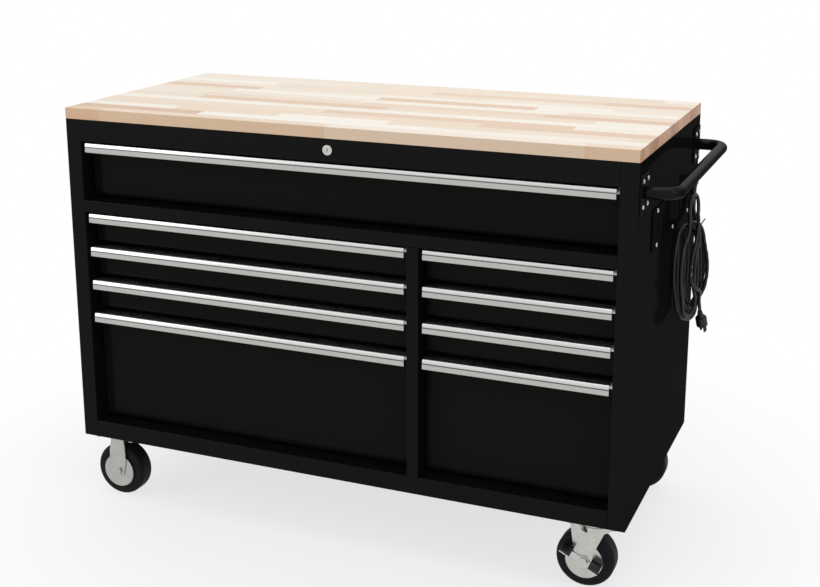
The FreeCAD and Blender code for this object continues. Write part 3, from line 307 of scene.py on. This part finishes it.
def tieBand():
    # a flat band round the strands over the hank's top, its head and a short tail
    data = bpy.data.meshes.new("cableTie")
    mesh = bmesh.new()
    size = {"along": -0.001, "across": 0.0029, "height": 0.699, "halfAcross": 0.0155, "halfHeight": 0.0105,
            "band": 0.0012, "width": 0.0046, "headUp": 0.004, "headOut": 0.93}
    rings = []
    count = 48
    for i in range(count):
        angle = 2 * math.pi * i / count
        ring = []
        for grow, side in ((0, -0.5), (1, -0.5), (1, 0.5), (0, 0.5)):
            up = (size["halfHeight"] + grow * size["band"]) * math.sin(angle)
            out = (size["halfAcross"] + grow * size["band"]) * math.cos(angle)
            ring.append(mesh.verts.new(hankPoint(
                size["height"] + up, size["along"] + side * size["width"], size["across"] + out)))
        rings.append(ring)
    for ring, following in zip(rings, rings[1:] + rings[:1]):
        for side in range(4):
            mesh.faces.new((ring[side], ring[(side + 1) % 4], following[(side + 1) % 4], following[side]))
    front = size["across"] - size["halfAcross"] * size["headOut"]
    head = Vector(hankPoint(size["height"] + size["headUp"], size["along"], front))
    outward = Vector((math.sin(hank["turn"]), -math.cos(hank["turn"]), 0))
    sideways = Vector((math.cos(hank["turn"]), math.sin(hank["turn"]), 0))

    def bar(start, end, wide, thick):
        direction = (end - start).normalized()
        first = outward if abs(direction.dot(outward)) < 0.8 else sideways
        one = first.cross(direction).normalized()
        two = direction.cross(one).normalized()
        loops = []
        for centre, taper in ((start, 1.0), (start.lerp(end, 0.8), 1.0), (end, 0.6)):
            loops.append([mesh.verts.new(centre + one * u * wide * taper / 2 + two * v * thick * taper / 2)
                          for u, v in ((-1, -1), (1, -1), (1, 1), (-1, 1))])
        for low, high in zip(loops, loops[1:]):
            for side in range(4):
                mesh.faces.new((low[side], low[(side + 1) % 4], high[(side + 1) % 4], high[side]))
        mesh.faces.new(loops[0])
        mesh.faces.new(list(reversed(loops[-1])))

    bar(head - outward * 0.001, head + outward * 0.0055, 0.007, 0.007)
    bar(head + outward * 0.003, head + outward * 0.011 + Vector((0.003, 0.004, 0.017)), 0.004, 0.0012)
    bmesh.ops.recalc_face_normals(mesh, faces=mesh.faces)
    mesh.to_mesh(data)
    mesh.free()
    piece = bpy.data.objects.new("cableTie", data)
    bpy.context.scene.collection.objects.link(piece)
    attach(piece, "bench")
    return piece


tie = tieBand()
print("cord and tie built,", len(route), "points")


# Materials
coat = {"frame": "101010", "drawers": "151613", "tube": "0F0F0F", "strip": "0C0C0D", "peel": 1.4, "drift": 90}


def powderCoat(name, text, roughness, shine, sideShine):
    # black paint, dull below, with a thin clear gloss on a fine orange peel, weaker on the sides
    material, tree, shader = newMaterial(name, {
        "Base Color": colour(text), "Specular IOR Level": 0.0, "Coat Roughness": 0.08})
    where = place(tree)
    peel = noise(tree, where, coat["peel"], 2.0)
    drift = noise(tree, where, coat["drift"])
    tree.links.new(remap(tree, drift.outputs["Fac"], *roughness).outputs[0], shader.inputs["Roughness"])
    normal = addNode(tree, "ShaderNodeNewGeometry").outputs["Normal"]
    sideways = addNode(tree, "ShaderNodeSeparateXYZ", {}, {0: normal}).outputs[0]
    isSide = addNode(tree, "ShaderNodeMapRange", {}, {
        "Value": calc(tree, "ABSOLUTE", sideways), "From Min": 0.6, "From Max": 0.9}).outputs[0]
    tree.links.new(calc(tree, "MULTIPLY_ADD", isSide, sideShine - shine, shine), shader.inputs["Coat Weight"])
    bump(tree, shader, peel.outputs["Fac"], 0.1, 0.0002)
    return material


pull = {"band": 0.0085, "groove": 0.0111,  # lower edges of the band and of the groove, below the pull's top
        # painted light: the band's two tones are a painted highlight fading down the band, and the groove's
        # colour is painted shade
        "bandHighlightTop": "E0E1E0", "bandHighlightFoot": "C4C5C3", "paintedGrooveShade": "6E6F6F", "face": "B6B7B3"}


def pullAluminium(name):
    # aluminium told apart by height below the top: the upper band is painted lighter towards its top as a
    # painted highlight, the groove is painted dark as painted shade, and the brushed lower face is painted
    # darker than the band
    material, tree, shader = newMaterial(name + "Aluminium", {"Metallic": 1.0, "Anisotropic": 0.3})
    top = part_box(name)[1][2]
    where = addNode(tree, "ShaderNodeTexCoord")
    height = addNode(tree, "ShaderNodeSeparateXYZ", {}, {0: where.outputs["Object"]}).outputs[2]
    down = calc(tree, "SUBTRACT", top, height)
    streak = noise(tree, place(tree, (0.008, 1, 1)), 0.5, 3.0, 0.6)
    tree.links.new(remap(tree, streak.outputs["Fac"], 0.2, 0.32).outputs[0], shader.inputs["Roughness"])
    low = calc(tree, "DIVIDE", down, pull["band"])
    # painted highlight: the band is lighter towards the pull's top
    band = ramp(tree, low, [(0.0, pull["bandHighlightTop"]), (1.0, pull["bandHighlightFoot"])])
    isFace = calc(tree, "GREATER_THAN", down, pull["groove"])
    isGroove = calc(tree, "GREATER_THAN", down, pull["band"])
    # painted shade: the groove below the band is painted dark
    lower = addNode(tree, "ShaderNodeMix", {"data_type": "RGBA"}, {
        0: isFace, 6: colour(pull["paintedGrooveShade"]), 7: colour(pull["face"])}).outputs[2]
    tint = addNode(tree, "ShaderNodeMix", {"data_type": "RGBA"}, {0: isGroove, 6: band, 7: lower}).outputs[2]
    tree.links.new(tint, shader.inputs["Base Color"])
    bump(tree, shader, streak.outputs["Fac"], 0.05, 0.0001)
    return material


def platedSteel(name, tints, cloudSize, roughness):
    material, tree, shader = newMaterial(name, {"Metallic": 1.0})
    where = place(tree)
    cloud = noise(tree, where, cloudSize, 3.0)
    fine = noise(tree, where, 0.9, 2.0)
    tree.links.new(remap(tree, cloud.outputs["Fac"], *roughness).outputs[0], shader.inputs["Roughness"])
    tint = ramp(tree, cloud.outputs["Fac"], [(0.3, tints[0]), (0.7, tints[1])])
    tree.links.new(tint, shader.inputs["Base Color"])
    bump(tree, shader, fine.outputs["Fac"], 0.05, 0.0001)
    return material


def rubberLook(tree, shader, roughness, grain, strength=0.2):
    where = place(tree)
    fine = noise(tree, where, grain, 3.0)
    dust = noise(tree, where, 30, 4.0)
    tree.links.new(remap(tree, dust.outputs["Fac"], *roughness).outputs[0], shader.inputs["Roughness"])
    bump(tree, shader, fine.outputs["Fac"], strength, 0.0003)


def rubber(name, text, roughness, grain, level=0.3):
    material, tree, shader = newMaterial(name, {"Base Color": colour(text), "Specular IOR Level": level})
    rubberLook(tree, shader, roughness, grain)
    return material


def masked(tree, shader, mask, inside, outside):
    tone = addNode(tree, "ShaderNodeMix", {"data_type": "RGBA"}, {
        0: mask, 6: colour(outside["colour"]), 7: colour(inside["colour"])})
    tree.links.new(tone.outputs[2], shader.inputs["Base Color"])
    for socket in ("Metallic", "Roughness"):
        low, high = outside[socket], inside[socket]
        tree.links.new(calc(tree, "MULTIPLY_ADD", mask, high - low, low), shader.inputs[socket])


wheelLook = {"tyreInner": 0.041, "tyre": {"colour": "131316", "Metallic": 0.0, "Roughness": 0.6},
             "core": {"colour": "8F9294", "Metallic": 1.0, "Roughness": 0.4}}


def wheelMaterial(name, wheel):
    # black rubber outside the core's radius, with a moulding line round the tread, and metal inside it
    material, tree, shader = newMaterial(name, {"Specular IOR Level": 0.12})
    low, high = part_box(wheel)
    centre = [(a + b) / 2 for a, b in zip(low, high)]
    where = place(tree)
    where.inputs["Location"].default_value = [-value for value in centre]
    x, y, z = addNode(tree, "ShaderNodeSeparateXYZ", {}, {0: where.outputs[0]}).outputs
    radius = calc(tree, "SQRT", calc(tree, "ADD", calc(tree, "POWER", x, 2.0), calc(tree, "POWER", z, 2.0)))
    isTyre = calc(tree, "GREATER_THAN", radius, wheelLook["tyreInner"])
    masked(tree, shader, isTyre, wheelLook["tyre"], wheelLook["core"])
    seam = calc(tree, "LESS_THAN", calc(tree, "ABSOLUTE", y), 0.0007)
    grain = noise(tree, where, 0.8, 3.0)
    height = calc(tree, "MULTIPLY_ADD", grain.outputs["Fac"], 0.3, seam)
    bump(tree, shader, height, 0.25, 0.0004)
    return material


pedalLook = {"slope": math.radians(26), "padFoot": 0.00655, "eye": 0.0136,
             "pad": {"colour": "17181B", "Metallic": 0.0, "Roughness": 0.5},
             "lever": {"colour": "C6C8C8", "Metallic": 1.0, "Roughness": 0.27}}


def pedalMaterial(wheel):
    # zinc on the brake lever and black rubber on its two pads, which lie above the lever's edge
    material, tree, shader = newMaterial("brakeLeverAndPads", {"Specular IOR Level": 0.4})
    low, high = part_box(wheel)
    where = place(tree)
    where.inputs["Location"].default_value = (-(low[0] + high[0]) / 2, 0, -(low[2] + high[2]) / 2)
    x, y, z = addNode(tree, "ShaderNodeSeparateXYZ", {}, {0: where.outputs[0]}).outputs
    sine, cosine = math.sin(pedalLook["slope"]), math.cos(pedalLook["slope"])
    above = calc(tree, "MULTIPLY_ADD", x, sine, calc(tree, "MULTIPLY", z, cosine))
    along = calc(tree, "MULTIPLY_ADD", x, cosine, calc(tree, "MULTIPLY", z, -sine))
    isPad = calc(tree, "MULTIPLY", calc(tree, "GREATER_THAN", above, pedalLook["padFoot"]),
                 calc(tree, "GREATER_THAN", calc(tree, "ABSOLUTE", along), pedalLook["eye"]))
    masked(tree, shader, isPad, pedalLook["pad"], pedalLook["lever"])
    ribs = calc(tree, "PINGPONG", along, 0.0015)
    bump(tree, shader, calc(tree, "MULTIPLY", calc(tree, "MULTIPLY", ribs, 600.0), isPad), 0.5, 0.0006)
    return material


wood = {"stave": 0.0415, "shortest": 0.26, "longer": 0.34, "joint": 0.0004, "grain": 6.0, "pores": 0.8,
        "face": [(0.0, "CDA98D"), (0.12, "DABFA5"), (0.3, "E0CDB7"), (0.5, "E4D6C4"), (0.75, "E8DFD1"),
                 (1.0, "ECE6DC")],
        # the front tone is painted shade for the worktop's front faces
        "end": [(0.2, "8E5A36"), (0.5, "B07A50"), (0.9, "CB9970")], "line": "A98563", "front": "D9A877"}


def staves():
    # glued staves along X: each has its own tone and grain, with end grain on the short ends
    material, tree, shader = newMaterial("gluedStaves", {
        "Specular IOR Level": 0.3, "Coat Weight": 0.1, "Coat Roughness": 0.3})
    where = addNode(tree, "ShaderNodeTexCoord")
    axes = addNode(tree, "ShaderNodeSeparateXYZ", {}, {0: where.outputs["Object"]})
    x, y, z = axes.outputs
    rowPlace = calc(tree, "DIVIDE", calc(tree, "ADD", y, 0.4), wood["stave"])
    row = calc(tree, "FLOOR", rowPlace)
    rowRandom = addNode(tree, "ShaderNodeTexWhiteNoise", {"noise_dimensions": "1D"}, {"W": row}).outputs[0]
    length = calc(tree, "MULTIPLY_ADD", rowRandom, wood["longer"], wood["shortest"])
    shifted = calc(tree, "MULTIPLY_ADD", rowRandom, 7.3, x)
    staveEnd = calc(tree, "DIVIDE", calc(tree, "ADD", shifted, 2.0), length)
    column = calc(tree, "FLOOR", staveEnd)
    cell = addNode(tree, "ShaderNodeCombineXYZ", {}, {0: column, 1: row, 2: 3.1})
    own = addNode(tree, "ShaderNodeTexWhiteNoise", {"noise_dimensions": "3D"}, {"Vector": cell.outputs[0]})
    # grain runs along each stave and starts anew in the next one
    far = addNode(tree, "ShaderNodeVectorMath", {"operation": "SCALE"}, {
        0: own.outputs["Color"], "Scale": 9.0})
    moved = addNode(tree, "ShaderNodeVectorMath", {"operation": "ADD"}, {
        0: where.outputs["Object"], 1: far.outputs[0]})
    along = addNode(tree, "ShaderNodeMapping", {}, {"Vector": moved.outputs[0], "Scale": (0.05, 1, 1)})
    grain = noise(tree, along, wood["grain"], 4.0, 0.6)
    pores = noise(tree, along, wood["pores"], 2.0, 0.5)
    tone = calc(tree, "MULTIPLY_ADD", grain.outputs["Fac"], 0.3, calc(
        tree, "SUBTRACT", own.outputs["Value"], 0.15))
    face = ramp(tree, tone, wood["face"])
    endTone = calc(tree, "MULTIPLY_ADD", pores.outputs["Fac"], 0.6, calc(
        tree, "MULTIPLY", own.outputs["Value"], 0.5))
    endGrain = ramp(tree, endTone, wood["end"])
    normal = addNode(tree, "ShaderNodeNewGeometry")
    normalX, normalY, _ = addNode(tree, "ShaderNodeSeparateXYZ", {}, {0: normal.outputs["Normal"]}).outputs
    # painted shade: the front faces are painted darker and warmer than the top
    isFront = calc(tree, "GREATER_THAN", calc(tree, "ABSOLUTE", normalY), 0.6)
    shadedFront = addNode(tree, "ShaderNodeMix", {"data_type": "RGBA"}, {
        0: calc(tree, "MULTIPLY", isFront, 0.4), 6: face, 7: colour(wood["front"])})
    isEnd = calc(tree, "GREATER_THAN", calc(tree, "ABSOLUTE", normalX), 0.6)
    mixed = addNode(tree, "ShaderNodeMix", {"data_type": "RGBA"}, {
        0: isEnd, 6: shadedFront.outputs[2], 7: endGrain})
    # glue lines between staves, along and at their ends
    rowGap = calc(tree, "MULTIPLY", calc(tree, "PINGPONG", rowPlace, 0.5), wood["stave"])
    endGap = calc(tree, "MULTIPLY", calc(tree, "PINGPONG", staveEnd, 0.5), length)
    line = calc(tree, "LESS_THAN", calc(tree, "MINIMUM", rowGap, endGap), wood["joint"])
    poreLine = calc(tree, "MULTIPLY", calc(tree, "GREATER_THAN", pores.outputs["Fac"], 0.62), 0.1)
    lined = addNode(tree, "ShaderNodeMix", {"data_type": "RGBA"}, {
        0: calc(tree, "MAXIMUM", calc(tree, "MULTIPLY", line, 0.4), poreLine), 6: mixed.outputs[2],
        7: colour(wood["line"])})
    tree.links.new(lined.outputs[2], shader.inputs["Base Color"])
    tree.links.new(remap(tree, grain.outputs["Fac"], 0.36, 0.5).outputs[0], shader.inputs["Roughness"])
    bump(tree, shader, pores.outputs["Fac"], 0.1, 0.0002)
    return material


frameCoat = powderCoat("blackFrameCoat", coat["frame"], (0.3, 0.4), 0.13, 0.015)
drawerCoat = powderCoat("blackDrawerCoat", coat["drawers"], (0.4, 0.5), 0.06, 0.03)
tubeCoat = powderCoat("blackTubeCoat", coat["tube"], (0.2, 0.3), 0.2, 0.03)
stripCoat = powderCoat("blackStripCoat", coat["strip"], (0.4, 0.5), 0.03, 0.01)
zinc = platedSteel("zincPlatedSteel", ("ABACA9", "B6B6B1"), 30, (0.24, 0.34))
brightZinc = platedSteel("brightZincPlate", ("BBBBB7", "C9C8C3"), 18, (0.14, 0.22))
nickel = platedSteel("nickelPlate", ("BDBBB4", "CFCDC6"), 8, (0.14, 0.24))
cordRubber = rubber("cordJacket", "0D0D0E", (0.42, 0.55), 0.5)
blackPlastic = rubber("blackMouldedPlastic", "101010", (0.42, 0.55), 0.6)
woodTop = staves()

drawerNames = [name[:-5] for name in nodes if name.endswith("_pull")]
finishes = {"worktop": woodTop, "lock_barrel": nickel, "lock_plug": nickel, "strain_relief": blackPlastic,
            "plug": blackPlastic, "side_screws": zinc, "caster_bolts": zinc, "cabinet_slides": zinc,
            "power_strip": stripCoat, "push_handle": tubeCoat}
for name in drawerNames:
    finishes[name] = drawerCoat
    finishes[name + "_pull"] = pullAluminium(name + "_pull")
    finishes[name + "_slides"] = zinc
for name in nodes:
    if "_wheel_" in name:
        finishes[name] = wheelMaterial(name + "Rubber", name)
    elif "fork" in name or "swivel_plate" in name:
        finishes[name] = brightZinc if "swivel" in name else zinc
brakeMaterial = pedalMaterial("right_wheel_front")
finishes["brake_pedal_front"] = finishes["brake_pedal_rear"] = brakeMaterial
for name, node in nodes.items():
    node.data.materials.clear()
    node.data.materials.append(finishes.get(name, frameCoat))
cordPiece.data.materials.append(cordRubber)
tie.data.materials.append(blackPlastic)
print("materials set")


# Studio: pale floor, soft lights and a white background
studio = {"floorHalf": 14, "shadowRadius": 0.5, "fadeRadius": 1.5, "nearWhite": 0.72, "floor": "F6F6F5",
          "ambient": 0.62}


def areaLight(name, location, target, width, height, power, tint="FFFFFF"):
    data = bpy.data.lights.new(name, "AREA")
    data.shape = "RECTANGLE"
    data.size = width
    data.size_y = height
    data.energy = power
    data.color = colour(tint)[:3]
    lamp = bpy.data.objects.new(name, data)
    lamp.location = location
    lamp.rotation_euler = (Vector(target) - Vector(location)).to_track_quat("-Z", "Y").to_euler()
    bpy.context.scene.collection.objects.link(lamp)


def seenRay(tree):  # 1 for camera, glossy and transmission rays
    rays = addNode(tree, "ShaderNodeLightPath").outputs
    return calc(tree, "MAXIMUM", rays["Is Camera Ray"], calc(
        tree, "MAXIMUM", rays["Is Glossy Ray"], rays["Is Transmission Ray"]))


areaLight("overheadSoftbox", (0.2, 0.2, 3.2), (0, 0, 0.9), 3.6, 2.6, 36)
areaLight("leftSoftbox", (-2.8, -2.6, 1.9), (0, 0, 0.5), 1.4, 2.2, 22)
areaLight("rightSoftbox", (3.4, -0.9, 2.2), (0.3, 0, 0.5), 1.0, 2.0, 10)

world = bpy.data.worlds.new("Studio")
world.use_nodes = True
bpy.context.scene.world = world
sky = world.node_tree
backdrop = sky.nodes["Background"]
backdrop.inputs["Color"].default_value = colour("FFFFFF")
strength = calc(sky, "MULTIPLY_ADD", seenRay(sky), 1 - studio["ambient"], studio["ambient"])
sky.links.new(strength, backdrop.inputs["Strength"])


def floorMaterial():
    # matt and nearly white round the bench, where it takes the shadow, and white further out
    material, tree, shader = newMaterial("paleFloor", {
        "Base Color": colour(studio["floor"]), "Roughness": 0.9, "Specular IOR Level": 0.1})
    flat = addNode(tree, "ShaderNodeMapping", {}, {
        "Vector": addNode(tree, "ShaderNodeTexCoord").outputs["Object"], "Scale": (1, 1, 0)})
    away = addNode(tree, "ShaderNodeVectorMath", {"operation": "LENGTH"}, {
        0: flat.outputs[0]}).outputs["Value"]
    fade = addNode(tree, "ShaderNodeMapRange", {"interpolation_type": "SMOOTHSTEP"}, {
        "Value": away, "From Min": studio["shadowRadius"], "From Max": studio["fadeRadius"],
        "To Min": studio["nearWhite"], "To Max": 1.0}).outputs[0]
    glow = addNode(tree, "ShaderNodeEmission")
    mix = addNode(tree, "ShaderNodeMixShader", {}, {
        0: calc(tree, "MULTIPLY", fade, seenRay(tree)), 1: shader.outputs[0], 2: glow.outputs[0]})
    tree.links.new(mix.outputs[0], tree.nodes["Material Output"].inputs["Surface"])
    return material


floorData = bpy.data.meshes.new("floor")
shape = bmesh.new()
bmesh.ops.create_grid(shape, x_segments=1, y_segments=1, size=studio["floorHalf"])
shape.to_mesh(floorData)
shape.free()
floor = bpy.data.objects.new("floor", floorData)
bpy.context.scene.collection.objects.link(floor)
floor.location.z = -0.0005
floorData.materials.append(floorMaterial())
bpy.context.scene.view_settings.view_transform = "Standard"
